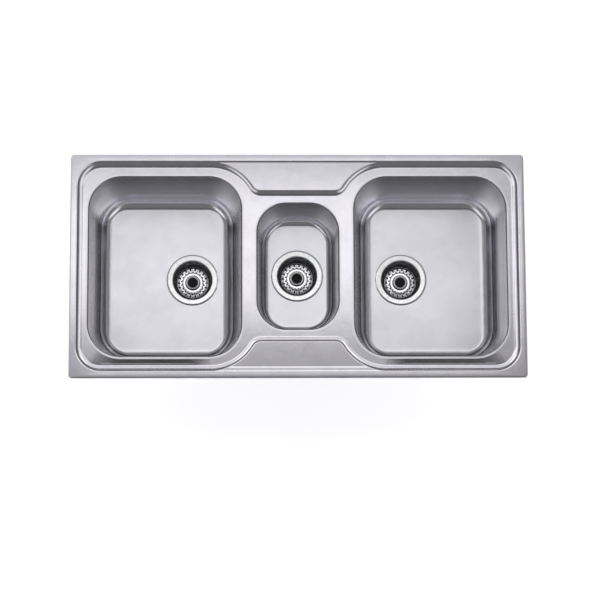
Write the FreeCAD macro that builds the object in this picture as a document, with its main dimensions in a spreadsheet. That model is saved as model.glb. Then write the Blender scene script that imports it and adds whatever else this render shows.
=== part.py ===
import FreeCAD, Part
import math
import os
from types import SimpleNamespace

import Sketcher

# Three bowl inset sink in sheet steel: two main bowls, a small centre bowl, three
# basket strainers, the rim seal and the clamps that hold it in a worktop.
# Lengths are millimetres.  The origin is the middle of the sink at the level of the
# worktop surface: X to the right, Y to the back, Z up.

SIZES = {
    # deck
    "sink_length": 1000.0,
    "sink_width": 500.0,
    "sink_corner": 8.0,
    "steel": 0.8,
    "rim_height": 5.0,
    "rim_edge_round": 2.0,
    "skirt_gap": 0.5,
    "cutout_length": 980.0,
    "cutout_width": 480.0,
    "recess_depth": 3.0,
    "recess_reach_x": 470.5,
    "recess_reach_y": 219.0,
    "recess_corner": 40.0,
    "ledge_height": 3.0,
    "ledge_edge": 155.5,
    "ledge_corner": 35.0,
    "shoulder_radius": 95.5,
    "shoulder_x": 191.5,
    "step_foot": 6.0,
    "step_head": 15.0,
    "step_head_round": 4.0,
    "step_foot_round": 8.0,
    # bowls
    "lip_round": 4.0,
    "weld_flange": 7.0,
    "main_bowl_x": 291.8,
    "main_mouth_x": 334.0,
    "main_mouth_y": 399.0,
    "main_corner": 71.5,
    "main_floor": 165.0,
    "main_draw": 12.0,
    "main_round": 35.0,
    "main_drain_x": 235.0,
    "centre_mouth_x": 177.6,
    "centre_mouth_y": 279.8,
    "centre_corner": 63.3,
    "centre_floor": 118.0,
    "centre_draw": 8.0,
    "centre_round": 20.0,
    # basket strainer, heights measured down from the bowl floor
    "seat_radius": 58.5,
    "seat_depth": 2.2,
    "waste_hole": 45.0,
    "waste_steel": 1.0,
    "flange_radius": 57.0,
    "flange_bevel": 0.6,
    "throat_radius": 42.8,
    "throat_depth": 1.8,
    "tier_pitch": 14.0,
    "tier_first": 13.0,
    "tier_lean": 0.6,
    "tier_step": 2.0,
    "cup_floor": 45.0,
    "cup_cone": 4.0,
    "well_radius": 12.0,
    "well_depth": 5.0,
    "drain_hole": 5.5,
    "drain_circle": 22.0,
    "gasket_inner": 46.0,
    "flange_gasket_outer": 56.5,
    "under_gasket_outer": 57.0,
    "under_gasket_height": 2.5,
    # waste housing
    "housing_flange": 58.0,
    "housing_flange_height": 3.5,
    "housing_outer": 49.0,
    "housing_bore": 45.3,
    "housing_depth": 58.0,
    "housing_cone": 16.0,
    "outlet_outer": 23.9,
    "outlet_bore": 20.0,
    "outlet_length": 24.0,
    "boss_radius": 9.0,
    "boss_length": 19.0,
    "rib_thickness": 3.0,
    "rib_top": 56.0,
    "rib_foot": 68.0,
    # waste screw
    "waste_screw": 3.95,
    "waste_screw_bore": 4.0,
    "waste_screw_hole": 4.3,
    "waste_screw_head": 7.0,
    "waste_screw_head_height": 4.0,
    "pin_hole": 2.4,
    "pin_hole_depth": 3.0,
    # basket
    "basket_steel": 1.0,
    "basket_lip": 36.0,
    "basket_lip_width": 1.4,
    "basket_top": 29.5,
    "basket_base": 37.0,
    "basket_base_radius": 29.6,
    "hub_top": 32.0,
    "hub_top_radius": 16.5,
    "hub_foot_radius": 21.0,
    "base_hole": 2.2,
    "base_hole_circle": 25.6,
    "slot_width": 3.5,
    "slot_inner": 31.2,
    "slot_outer": 34.2,
    "knob_top": 27.0,
    "knob_outer": 16.5,
    "knob_foot": 14.0,
    "knob_bore": 11.0,
    "knob_floor": 1.5,
    "stem_neck": 3.0,
    "stem_head": 6.0,
    "stem_head_height": 1.5,
    "stem_collar": 8.0,
    "stem_nut": 6.0,
    "stem_nut_height": 0.8,
    "pin_radius": 2.2,
    "pin_length": 3.0,
    "stopper_top": 42.6,
    "stopper_height": 2.0,
    "stopper_gap": 0.3,
    # rim seal
    "seal_inset": 2.0,
    "seal_width": 7.0,
    "seal_corner": 6.0,
    # rails, measured outward from the back of the web
    "rail_y": 218.0,
    "rail_x": 470.0,
    "rail_long": 860.0,
    "rail_short": 320.0,
    "rail_steel": 1.2,
    "rail_flange": 7.0,
    "rail_lip": 3.0,
    "rail_drop": 18.0,
    # clamps, measured outward from the back of the rail web
    "clamp_x": 260.0,
    "clamp_width": 18.0,
    "bracket_steel": 1.5,
    "bracket_start": 0.1,
    "bracket_plate": 3.2,
    "bracket_foot": 52.0,
    "tab_reach": 18.0,
    "tab_level": 28.5,
    "clamp_screw_u": 12.0,
    "clamp_screw": 2.45,
    "clamp_screw_bore": 2.5,
    "clamp_screw_head": 4.6,
    "clamp_screw_head_height": 3.5,
    "clamp_screw_length": 30.0,
    "clamp_slot_width": 1.4,
    "clamp_slot_depth": 1.6,
    "claw_steel": 2.0,
    "claw_start": 4.9,
    "claw_reach": 26.0,
    "claw_level": 40.0,
    "claw_tooth": 10.0,
    "claw_heel": 6.0,
    "claw_heel_steel": 1.5,
    "claw_hole": 2.8,
    # sound pads
    "pad_thickness": 2.0,
    "main_pad_x": 350.0,
    "main_pad_length": 96.0,
    "main_pad_width": 200.0,
    "centre_pad_y": 84.0,
    "centre_pad_length": 90.0,
    "centre_pad_width": 38.0,
    "pad_corner": 8.0,
}

BASKET_HOLES = 18
CUP_HOLES = 8
HOUSING_RIBS = 4
TOLERANCE = 1e-6


class Size:
    """A length together with the spreadsheet expression that gives it."""

    def __init__(self, value, text):
        self.value = float(value)
        self.text = text

    @staticmethod
    def of(other):
        if isinstance(other, Size):
            return other
        return Size(other, f"({float(other)!r})")

    def __add__(self, other):
        other = Size.of(other)
        return Size(self.value + other.value, f"({self.text} + {other.text})")

    def __radd__(self, other):
        return Size.of(other) + self

    def __sub__(self, other):
        other = Size.of(other)
        return Size(self.value - other.value, f"({self.text} - {other.text})")

    def __rsub__(self, other):
        return Size.of(other) - self

    def __mul__(self, other):
        other = Size.of(other)
        return Size(self.value * other.value, f"({self.text} * {other.text})")

    def __rmul__(self, other):
        return Size.of(other) * self

    def __truediv__(self, other):
        other = Size.of(other)
        return Size(self.value / other.value, f"({self.text} / {other.text})")

    def __neg__(self):
        return Size(-self.value, f"(-1 * {self.text})")

    def root(self):
        return Size(math.sqrt(self.value), f"sqrt({self.text})")


def length(x, y):
    """The hypotenuse of two sizes."""
    return (x * x + y * y).root()


ZERO = Size(0, "0")

doc = FreeCAD.newDocument("ThreeBowlSink")
sheet = doc.addObject("Spreadsheet::Sheet", "Sizes")
for row, (name, value) in enumerate(SIZES.items(), start=1):
    sheet.set(f"A{row}", name)
    sheet.set(f"B{row}", str(value))
    sheet.setAlias(f"B{row}", name)
doc.recompute()
dim = SimpleNamespace(
    **{name: Size(value, f"Sizes.{name}") for name, value in SIZES.items()}
)

nodes = {}


# ---------------------------------------------------------------- drawing helpers


def bind(item, name, size):
    """Drive one property of an object from the spreadsheet."""
    item.setExpression(name, size.text)


def new_body(label):
    body = doc.addObject("PartDesign::Body", label)
    body.Label = label
    return body


def place(item, x=ZERO, y=ZERO, z=ZERO, turn=0.0):
    """Put an object at a point, turned about the vertical."""
    item.Placement = FreeCAD.Placement(
        FreeCAD.Vector(x.value, y.value, z.value),
        FreeCAD.Rotation(FreeCAD.Vector(0, 0, 1), turn),
    )
    bind(item, "Placement.Base.x", x)
    bind(item, "Placement.Base.y", y)
    bind(item, "Placement.Base.z", z)


def new_sketch(body, label, plane="XY_Plane", offset=ZERO):
    """A sketch on one of the body's own planes, shifted along the plane's normal."""
    sketch = body.newObject("Sketcher::SketchObject", label)
    support = next(f for f in body.Origin.OriginFeatures if f.Role == plane)
    sketch.AttachmentSupport = (support, [""])
    sketch.MapMode = "FlatFace"
    sketch.AttachmentOffset = FreeCAD.Placement(
        FreeCAD.Vector(0, 0, offset.value), FreeCAD.Rotation()
    )
    bind(sketch, "AttachmentOffset.Base.z", offset)
    return sketch


def point_constraints(geometry, position, x, y):
    """Constraints that fix one sketch point, each with its driving expression."""
    out = []
    for kind, axis, size in (("DistanceX", -2, x), ("DistanceY", -1, y)):
        if abs(size.value) < TOLERANCE:
            rule = Sketcher.Constraint("PointOnObject", geometry, position, axis)
            out.append((rule, None))
        elif size.value > 0:
            rule = Sketcher.Constraint(kind, -1, 1, geometry, position, size.value)
            out.append((rule, size))
        else:
            rule = Sketcher.Constraint(kind, geometry, position, -1, 1, -size.value)
            out.append((rule, -size))
    return out


def apply_constraints(sketch, rules):
    first = sketch.ConstraintCount
    sketch.addConstraint([rule for rule, _ in rules])
    for index, (_, size) in enumerate(rules, start=first):
        if size is not None:
            bind(sketch, f"Constraints[{index}]", size)


def draw_circle(sketch, x, y, radius):
    centre = FreeCAD.Vector(x.value, y.value, 0)
    circle = Part.Circle(centre, FreeCAD.Vector(0, 0, 1), radius.value)
    index = sketch.addGeometry(circle, False)
    rules = point_constraints(index, 3, x, y)
    rules.append((Sketcher.Constraint("Radius", index, radius.value), radius))
    apply_constraints(sketch, rules)


def arc_side(start, end, radius):
    """An arc from start to end, centre on the left for a positive radius."""
    reach = abs(radius)
    chord = end - start
    side = FreeCAD.Vector(-chord.y, chord.x, 0).normalize()
    rise = math.sqrt(max(reach * reach - chord.Length * chord.Length / 4, 0))
    centre = (start + end) * 0.5 + side * math.copysign(rise, radius)
    first, last = (start, end) if radius > 0 else (end, start)
    angles = [math.atan2(p.y - centre.y, p.x - centre.x) for p in (first, last)]
    circle = Part.Circle(centre, FreeCAD.Vector(0, 0, 1), reach)
    return Part.ArcOfCircle(circle, angles[0], angles[1])


def draw_path(sketch, corners):
    """A closed outline.

    Every corner is (x, y) when a straight side follows it, or (x, y, radius) when an
    arc does: positive when the arc's centre is on the left of the path.
    """
    points = [FreeCAD.Vector(c[0].value, c[1].value, 0) for c in corners]
    count = len(corners)
    base = sketch.GeometryCount
    ends = []
    rules = []
    for index, corner in enumerate(corners):
        start, end = points[index], points[(index + 1) % count]
        if len(corner) == 2:
            sketch.addGeometry(Part.LineSegment(start, end), False)
            ends.append((1, 2))
            continue
        radius = corner[2]
        sketch.addGeometry(arc_side(start, end, radius.value), False)
        ends.append((1, 2) if radius.value > 0 else (2, 1))
        size = radius if radius.value > 0 else -radius
        rule = Sketcher.Constraint("Radius", base + index, size.value)
        rules.append((rule, size))
    for index, corner in enumerate(corners):
        after = (index + 1) % count
        join = Sketcher.Constraint(
            "Coincident", base + index, ends[index][1], base + after, ends[after][0]
        )
        rules.append((join, None))
        rules += point_constraints(base + index, ends[index][0], corner[0], corner[1])
    apply_constraints(sketch, rules)


def box_path(half_x, half_y, x=ZERO, y=ZERO):
    return [
        (x - half_x, y - half_y),
        (x + half_x, y - half_y),
        (x + half_x, y + half_y),
        (x - half_x, y + half_y),
    ]


def round_box_path(half_x, half_y, radius, x=ZERO, y=ZERO):
    """A rectangle with rounded corners."""
    left, right = x - half_x, x + half_x
    front, back = y - half_y, y + half_y
    return [
        (left + radius, front),
        (right - radius, front, radius),
        (right, front + radius),
        (right, back - radius, radius),
        (right - radius, back),
        (left + radius, back, radius),
        (left, back - radius),
        (left, front + radius, radius),
    ]


# ---------------------------------------------------------------- feature helpers


def extrude(body, kind, label, sketch, size, reverse=False, both=False):
    """A pad or pocket."""
    feature = body.newObject(f"PartDesign::{kind}", label)
    feature.Profile = sketch
    feature.Length = size.value
    bind(feature, "Length", size)
    feature.Reversed = reverse
    if both:
        feature.SideType = "Symmetric"
    body.Tip = feature
    return feature


def loft(body, kind, label, upper, lower):
    feature = body.newObject(f"PartDesign::{kind}Loft", label)
    feature.Profile = upper
    feature.Sections = [lower]
    feature.Ruled = True
    body.Tip = feature
    return feature


def revolve(body, label, sketch):
    feature = body.newObject("PartDesign::Revolution", label)
    feature.Profile = sketch
    feature.ReferenceAxis = (sketch, ["V_Axis"])
    feature.Angle = 360
    body.Tip = feature
    return feature


def polar(body, label, feature, sketch, count):
    """Repeat a feature around the body's vertical axis."""
    pattern = body.newObject("PartDesign::PolarPattern", label)
    pattern.Originals = [feature]
    pattern.Axis = (sketch, ["N_Axis"])
    pattern.Angle = 360
    pattern.Occurrences = count
    body.Tip = pattern
    return pattern


def level_edges(body, level):
    """Names and boxes of the edges of a body's tip that lie flat at one height."""
    doc.recompute()
    found = []
    for index, edge in enumerate(body.Tip.Shape.Edges, start=1):
        box = edge.BoundBox
        if box.ZMax - box.ZMin < TOLERANCE and abs(box.ZMax - level.value) < 1e-4:
            found.append((f"Edge{index}", box))
    return found


def round_edges(body, label, names, radius):
    base = body.Tip
    feature = body.newObject("PartDesign::Fillet", label)
    feature.Base = (base, names)
    feature.Radius = radius.value
    bind(feature, "Radius", radius)
    body.Tip = feature
    return feature


def fillet(body, label, level, radius, reach_x=None, reach_y=None):
    """Round the level edges at one height, inside a rectangle where one is given."""
    names = []
    for name, box in level_edges(body, level):
        if reach_x and max(-box.XMin, box.XMax) > reach_x.value:
            continue
        if reach_y and max(-box.YMin, box.YMax) > reach_y.value:
            continue
        names.append(name)
    return round_edges(body, label, names, radius)


def turned(label, corners):
    """A body of revolution about its own vertical axis, from (radius, height) points."""
    body = new_body(label)
    sketch = new_sketch(body, f"{label}_profile", "XZ_Plane")
    draw_path(sketch, corners)
    revolve(body, f"{label}_turn", sketch)
    return body


def strip(label, corners, width):
    """A folded strip: an (outward, height) profile extruded to both sides."""
    body = new_body(label)
    sketch = new_sketch(body, f"{label}_profile", "XZ_Plane")
    draw_path(sketch, corners)
    extrude(body, "Pad", f"{label}_strip", sketch, width, both=True)
    return body


# ---------------------------------------------------------------- deck


def recess_path(grow):
    """The outline of the sunk drainage field, grown outward by a distance.

    It runs close to the rim around the main bowls and bends inward in front of and
    behind the centre bowl, where it leaves a flat ledge.
    """
    shoulder = dim.shoulder_radius
    shoulder_y = dim.recess_reach_y - shoulder
    ledge_y = dim.ledge_edge + dim.ledge_corner
    rise = ledge_y - shoulder_y
    span = shoulder + dim.ledge_corner
    run = (span * span - rise * rise).root()
    ledge_x = dim.shoulder_x - run
    bend = dim.ledge_corner - grow
    touch_x = ledge_x + bend * run / span
    touch_y = ledge_y - bend * rise / span
    top = dim.recess_reach_y + grow
    side = dim.recess_reach_x + grow
    corner = dim.recess_corner + grow
    corner_x = dim.recess_reach_x - dim.recess_corner
    corner_y = dim.recess_reach_y - dim.recess_corner
    wide = shoulder + grow
    edge = dim.ledge_edge + grow
    return [
        (side, -corner_y),
        (side, corner_y, corner),
        (corner_x, top),
        (dim.shoulder_x, top, wide),
        (touch_x, touch_y, -bend),
        (ledge_x, edge),
        (-ledge_x, edge, -bend),
        (-touch_x, touch_y, wide),
        (-dim.shoulder_x, top),
        (-corner_x, top, corner),
        (-side, corner_y),
        (-side, -corner_y, corner),
        (-corner_x, -top),
        (-dim.shoulder_x, -top, wide),
        (-touch_x, -touch_y, -bend),
        (-ledge_x, -edge),
        (ledge_x, -edge, -bend),
        (touch_x, -touch_y, wide),
        (dim.shoulder_x, -top),
        (corner_x, -top, corner),
    ]


def deck_form(label, skin):
    """The pressed shape of the deck as a solid, moved into the sheet by skin.

    The deck is what lies between the form with no skin and the form with the whole
    thickness of the sheet as its skin.
    """
    body = new_body(label)
    rise = dim.rim_height + dim.recess_depth
    run = dim.step_head - dim.step_foot
    slant = length(run, rise)
    shift = skin * (slant - run) / rise
    top = dim.rim_height - skin
    half_x = dim.sink_length / 2 - skin
    half_y = dim.sink_width / 2 - skin

    plate = new_sketch(body, f"{label}_plate_outline", offset=top)
    draw_path(plate, round_box_path(half_x, half_y, dim.sink_corner - skin))
    plate_depth = dim.rim_height - dim.skirt_gap + 20 * skin
    extrude(body, "Pad", f"{label}_plate", plate, plate_depth, reverse=True)

    inner = new_sketch(body, f"{label}_body_outline", offset=top)
    draw_path(inner, box_path(dim.cutout_length / 2, dim.cutout_width / 2))
    extrude(body, "Pad", f"{label}_body", inner, rise + 12, reverse=True)

    field = new_sketch(body, f"{label}_field_outline", offset=top)
    draw_path(field, recess_path(dim.step_head + shift))
    floor = new_sketch(body, f"{label}_field_floor", offset=top - rise)
    draw_path(floor, recess_path(dim.step_foot + shift))
    loft(body, "Subtractive", f"{label}_field", field, floor)

    drop = dim.rim_height - dim.ledge_height
    slope = run / rise
    wall = dim.recess_reach_y + dim.step_head + shift
    ends = dim.shoulder_x + 9
    shelf = new_sketch(body, f"{label}_ledge_outline", offset=top)
    draw_path(shelf, box_path(ends, wall))
    shelf_floor = new_sketch(body, f"{label}_ledge_floor", offset=top - drop)
    draw_path(shelf_floor, box_path(ends, wall - drop * slope))
    loft(body, "Subtractive", f"{label}_ledge", shelf, shelf_floor)

    fillet(
        body,
        f"{label}_head_round",
        top,
        dim.step_head_round - skin,
        dim.cutout_length / 2,
        dim.cutout_width / 2,
    )
    fillet(body, f"{label}_foot_round", top - rise, dim.step_foot_round + skin)
    return body


def round_outer_edge(body, label, level, radius):
    """Round the outer top edge of a deck form."""
    names = []
    for name, box in level_edges(body, level):
        reach = max(-box.XMin, box.XMax) - dim.cutout_length.value / 2
        depth = max(-box.YMin, box.YMax) - dim.cutout_width.value / 2
        if max(reach, depth) > 2:
            names.append(name)
    return round_edges(body, label, names, radius)


def bowl_sizes(side):
    """Mouth half sizes, corner, floor, draw and bottom round of one bowl."""
    kind = "centre" if side == "centre" else "main"
    return SimpleNamespace(
        half_x=getattr(dim, f"{kind}_mouth_x") / 2,
        half_y=getattr(dim, f"{kind}_mouth_y") / 2,
        corner=getattr(dim, f"{kind}_corner"),
        floor=getattr(dim, f"{kind}_floor"),
        draw=getattr(dim, f"{kind}_draw"),
        bottom=getattr(dim, f"{kind}_round"),
        x={"left": -dim.main_bowl_x, "centre": ZERO, "right": dim.main_bowl_x}[side],
        drain_x={"left": -dim.main_drain_x, "centre": ZERO, "right": dim.main_drain_x}[
            side
        ],
    )


SIDES = ("left", "centre", "right")


def build_deck():
    top = deck_form("deck_face", ZERO)
    round_outer_edge(top, "deck_face_edge_round", dim.rim_height, dim.rim_edge_round)
    for side in SIDES:
        bowl = bowl_sizes(side)
        opening = new_sketch(top, f"{side}_opening_outline", offset=dim.rim_height)
        grow = dim.weld_flange
        path = round_box_path(
            bowl.half_x + grow, bowl.half_y + grow, bowl.corner + grow, bowl.x
        )
        draw_path(opening, path)
        extrude(top, "Pocket", f"{side}_opening", opening, dim.rim_height * 6)
    under = deck_form("deck_under", dim.steel)
    round_outer_edge(
        under,
        "deck_under_edge_round",
        dim.rim_height - dim.steel,
        dim.rim_edge_round - dim.steel,
    )
    deck = doc.addObject("Part::Cut", "deck")
    deck.Label = "deck"
    deck.Base = top
    deck.Tool = under
    nodes["deck"] = deck


# ---------------------------------------------------------------- bowls


def build_bowl(side):
    """A drawn bowl with a flat flange that is butt welded into the deck."""
    bowl = bowl_sizes(side)
    label = f"{side}_bowl"
    body = new_body(label)
    rim = -dim.recess_depth
    depth = bowl.floor - dim.recess_depth
    skin = dim.steel * length(depth, bowl.draw) / depth

    flange = new_sketch(body, f"{label}_flange_outline", offset=rim)
    grow = dim.weld_flange
    draw_path(
        flange,
        round_box_path(bowl.half_x + grow, bowl.half_y + grow, bowl.corner + grow),
    )
    extrude(body, "Pad", f"{label}_flange", flange, dim.steel, reverse=True)

    def section(name, level, grow):
        """A level section of the wall, drawn in by the draft and then grown."""
        inward = bowl.draw * (rim - level) / depth - grow
        sketch = new_sketch(body, f"{label}_{name}", offset=level)
        path = round_box_path(
            bowl.half_x - inward, bowl.half_y - inward, bowl.corner + grow
        )
        draw_path(sketch, path)
        return sketch

    outside = section("outer_mouth", rim, skin)
    outside_floor = section("outer_floor", -bowl.floor - dim.steel, skin)
    loft(body, "Additive", f"{label}_outside", outside, outside_floor)
    inside = section("inner_mouth", rim, ZERO)
    inside_floor = section("inner_floor", -bowl.floor, ZERO)
    loft(body, "Subtractive", f"{label}_inside", inside, inside_floor)
    fillet(body, f"{label}_inner_bottom", -bowl.floor, bowl.bottom)
    fillet(
        body, f"{label}_outer_bottom", -bowl.floor - dim.steel, bowl.bottom + dim.steel
    )
    near = dim.weld_flange / 2
    fillet(
        body,
        f"{label}_outer_lip",
        rim - dim.steel,
        dim.lip_round - dim.steel,
        bowl.half_x + near,
        bowl.half_y + near,
    )
    fillet(
        body,
        f"{label}_inner_lip",
        rim,
        dim.lip_round,
        bowl.half_x + near,
        bowl.half_y + near,
    )

    drain_x = bowl.drain_x - bowl.x
    boss = new_sketch(body, f"{label}_seat_outline", offset=-bowl.floor - dim.steel / 2)
    draw_circle(boss, drain_x, ZERO, dim.seat_radius + dim.steel)
    boss_depth = dim.seat_depth + dim.steel / 2
    extrude(body, "Pad", f"{label}_seat", boss, boss_depth, reverse=True)

    seat = new_sketch(body, f"{label}_recess_outline", offset=-bowl.floor + 5)
    draw_circle(seat, drain_x, ZERO, dim.seat_radius)
    extrude(body, "Pocket", f"{label}_recess", seat, dim.seat_depth + 5)
    hole = new_sketch(body, f"{label}_hole_outline", offset=-bowl.floor)
    draw_circle(hole, drain_x, ZERO, dim.waste_hole)
    extrude(body, "Pocket", f"{label}_hole", hole, dim.seat_depth * 4)
    place(body, x=bowl.x)
    nodes[label] = body


# ---------------------------------------------------------------- strainers


def build_strainer_body(label):
    """The stepped steel cup whose flange lines the drain opening."""
    plate = dim.waste_steel
    dip = plate * 0.4
    inner = [
        (dim.flange_radius, -dim.flange_bevel),
        (dim.flange_radius - dim.flange_bevel * 2, ZERO),
        (dim.throat_radius + dim.throat_depth, ZERO),
        (dim.throat_radius, -dim.throat_depth),
    ]
    outer = [
        (dim.flange_radius, -plate),
        (dim.throat_radius + dim.throat_depth + dip, -plate),
        (dim.throat_radius + plate, -dim.throat_depth - dip),
    ]
    radius = dim.throat_radius
    foot = -dim.tier_first
    for tier in range(3):
        radius = radius - dim.tier_lean
        inner.append((radius, foot))
        outer.append((radius + plate, foot - dip))
        if tier == 2:
            break
        radius = radius - dim.tier_step
        inner.append((radius, foot - dim.tier_step))
        outer.append((radius + plate, foot - dim.tier_step - dip))
        foot = foot - dim.tier_pitch
    cone_foot = radius - dim.cup_cone
    well_floor = dim.cup_floor + dim.well_depth
    inner += [
        (cone_foot, -dim.cup_floor),
        (dim.well_radius, -dim.cup_floor),
        (dim.well_radius - plate * 1.5, -well_floor),
        (dim.waste_screw_hole, -well_floor),
    ]
    outer += [
        (cone_foot + dip, -dim.cup_floor - plate),
        (dim.well_radius + plate, -dim.cup_floor - plate),
        (dim.well_radius - dip, -well_floor - plate),
        (dim.waste_screw_hole, -well_floor - plate),
    ]
    body = turned(label, inner + outer[::-1])
    holes = new_sketch(body, f"{label}_hole_outline", offset=-dim.cup_floor + 2)
    draw_circle(holes, dim.drain_circle, ZERO, dim.drain_hole)
    hole = extrude(body, "Pocket", f"{label}_hole", holes, plate + 6)
    polar(body, f"{label}_holes", hole, holes, CUP_HOLES)
    return body


def build_housing(label):
    """The plastic waste housing under the bowl, drawn together on a central boss."""
    top = dim.seat_depth + dim.steel + dim.under_gasket_height
    shelf = top + dim.housing_flange_height
    boss_top = dim.cup_floor + dim.well_depth + dim.waste_steel
    cone_foot = dim.housing_depth + dim.housing_cone
    inner_foot = cone_foot - 2
    outlet_foot = cone_foot + dim.outlet_length
    body = turned(
        label,
        [
            (dim.housing_bore, -top),
            (dim.housing_bore, -dim.housing_depth + 1),
            (dim.outlet_bore, -inner_foot),
            (dim.outlet_bore, -outlet_foot),
            (dim.outlet_outer, -outlet_foot),
            (dim.outlet_outer, -cone_foot),
            (dim.housing_outer, -dim.housing_depth),
            (dim.housing_outer, -shelf),
            (dim.housing_flange, -shelf),
            (dim.housing_flange, -top),
        ],
    )
    # the ribs run into the wall of the cup and its cone
    rib = new_sketch(body, f"{label}_rib_profile", "XZ_Plane")
    wall = (dim.housing_bore + dim.housing_outer) / 2 - 0.6
    draw_path(
        rib,
        [
            (dim.boss_radius - 1, -dim.rib_foot),
            (dim.outlet_outer + 6, -dim.rib_foot),
            (wall, -dim.housing_depth),
            (wall, -dim.rib_top),
            (dim.boss_radius - 1, -dim.rib_top),
        ],
    )
    post = new_sketch(body, f"{label}_boss_outline", offset=-boss_top)
    draw_circle(post, ZERO, ZERO, dim.boss_radius)
    draw_circle(post, ZERO, ZERO, dim.waste_screw_bore)
    ribs = extrude(body, "Pad", f"{label}_rib", rib, dim.rib_thickness, both=True)
    polar(body, f"{label}_ribs", ribs, post, HOUSING_RIBS)
    extrude(body, "Pad", f"{label}_boss", post, dim.boss_length, reverse=True)
    return body


def ring(label, inner, outer, top, bottom):
    return turned(label, [(inner, bottom), (outer, bottom), (outer, top), (inner, top)])


def build_waste_screw(label):
    """The screw that pulls the housing up against the strainer body."""
    foot = -(dim.cup_floor + dim.well_depth)
    crown = foot + dim.waste_screw_head_height
    end = foot - dim.waste_steel - dim.boss_length
    return turned(
        label,
        [
            (ZERO, end),
            (dim.waste_screw - 0.8, end),
            (dim.waste_screw, end + 0.8),
            (dim.waste_screw, foot),
            (dim.waste_screw_head, foot),
            (dim.waste_screw_head, crown - 1),
            (dim.waste_screw_head - 1, crown),
            (dim.pin_hole, crown),
            (dim.pin_hole, crown - dim.pin_hole_depth),
            (ZERO, crown - dim.pin_hole_depth),
        ],
    )


def build_basket(label):
    """The perforated basket with its raised hub."""
    plate = dim.basket_steel
    hub_run = dim.hub_foot_radius - dim.hub_top_radius
    hub_drop = dim.basket_base - dim.hub_top
    hub_slant = length(hub_run, hub_drop)
    hub_shift = plate * (hub_slant - hub_run) / hub_drop
    wall_top = dim.basket_lip - dim.basket_lip_width
    wall_run = wall_top - dim.basket_base_radius
    wall_rise = dim.basket_base - dim.basket_top
    wall_slant = length(wall_run, wall_rise)
    wall_shift = plate * (wall_slant - wall_run) / wall_rise
    body = turned(
        label,
        [
            (dim.stem_neck, -dim.hub_top - plate),
            (dim.hub_top_radius - hub_shift, -dim.hub_top - plate),
            (dim.hub_foot_radius - hub_shift, -dim.basket_base - plate),
            (dim.basket_base_radius + wall_shift, -dim.basket_base - plate),
            (wall_top + wall_shift, -dim.basket_top - plate),
            (dim.basket_lip, -dim.basket_top - plate),
            (dim.basket_lip, -dim.basket_top),
            (wall_top, -dim.basket_top),
            (dim.basket_base_radius, -dim.basket_base),
            (dim.hub_foot_radius, -dim.basket_base),
            (dim.hub_top_radius, -dim.hub_top),
            (dim.stem_neck, -dim.hub_top),
        ],
    )
    cuts = new_sketch(body, f"{label}_hole_outline", offset=-dim.basket_top + 1)
    draw_circle(cuts, dim.base_hole_circle, ZERO, dim.base_hole)
    middle = (dim.slot_inner + dim.slot_outer) / 2
    half = (dim.slot_outer - dim.slot_inner) / 2
    draw_path(cuts, box_path(half, dim.slot_width / 2, x=middle))
    depth = dim.basket_base - dim.basket_top + 4
    hole = extrude(body, "Pocket", f"{label}_hole", cuts, depth)
    polar(body, f"{label}_holes", hole, cuts, BASKET_HOLES)
    return body


def build_knob(label):
    """The hollow finger knob on the hub."""
    edge = 0.8
    return turned(
        label,
        [
            (dim.stem_neck, -dim.hub_top),
            (dim.knob_foot, -dim.hub_top),
            (dim.knob_outer, -dim.knob_top - 1.5),
            (dim.knob_outer, -dim.knob_top - edge),
            (dim.knob_outer - edge, -dim.knob_top),
            (dim.knob_bore + edge, -dim.knob_top),
            (dim.knob_bore, -dim.knob_top - edge),
            (dim.knob_bore, -dim.hub_top + dim.knob_floor),
            (dim.stem_neck, -dim.hub_top + dim.knob_floor),
        ],
    )


def build_stopper(label):
    """The rubber disc that closes the cup, bevelled to the cup's conical seat."""
    seat = dim.throat_radius - dim.tier_lean * 3 - dim.tier_step * 2 - dim.cup_cone
    foot = dim.stopper_top + dim.stopper_height
    lower = seat + (dim.cup_floor - foot) - dim.stopper_gap
    return turned(
        label,
        [
            (dim.stem_neck, -foot),
            (lower, -foot),
            (lower + dim.stopper_height, -dim.stopper_top),
            (dim.stem_neck, -dim.stopper_top),
        ],
    )


def build_stem(label):
    """The stem that holds knob, basket and stopper together and pins into the screw."""
    head = -dim.hub_top + dim.knob_floor
    hub = -dim.hub_top - dim.basket_steel
    stopper = -dim.stopper_top - dim.stopper_height
    nut = stopper - dim.stem_nut_height
    tip = nut - dim.pin_length
    return turned(
        label,
        [
            (ZERO, tip),
            (dim.pin_radius - 0.6, tip),
            (dim.pin_radius, tip + 0.6),
            (dim.pin_radius, nut),
            (dim.stem_nut, nut),
            (dim.stem_nut, stopper),
            (dim.stem_neck, stopper),
            (dim.stem_neck, -dim.stopper_top),
            (dim.stem_collar, -dim.stopper_top),
            (dim.stem_collar, hub),
            (dim.stem_neck, hub),
            (dim.stem_neck, head),
            (dim.stem_head, head),
            (dim.stem_head - 0.8, head + dim.stem_head_height),
            (ZERO, head + dim.stem_head_height),
        ],
    )


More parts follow.
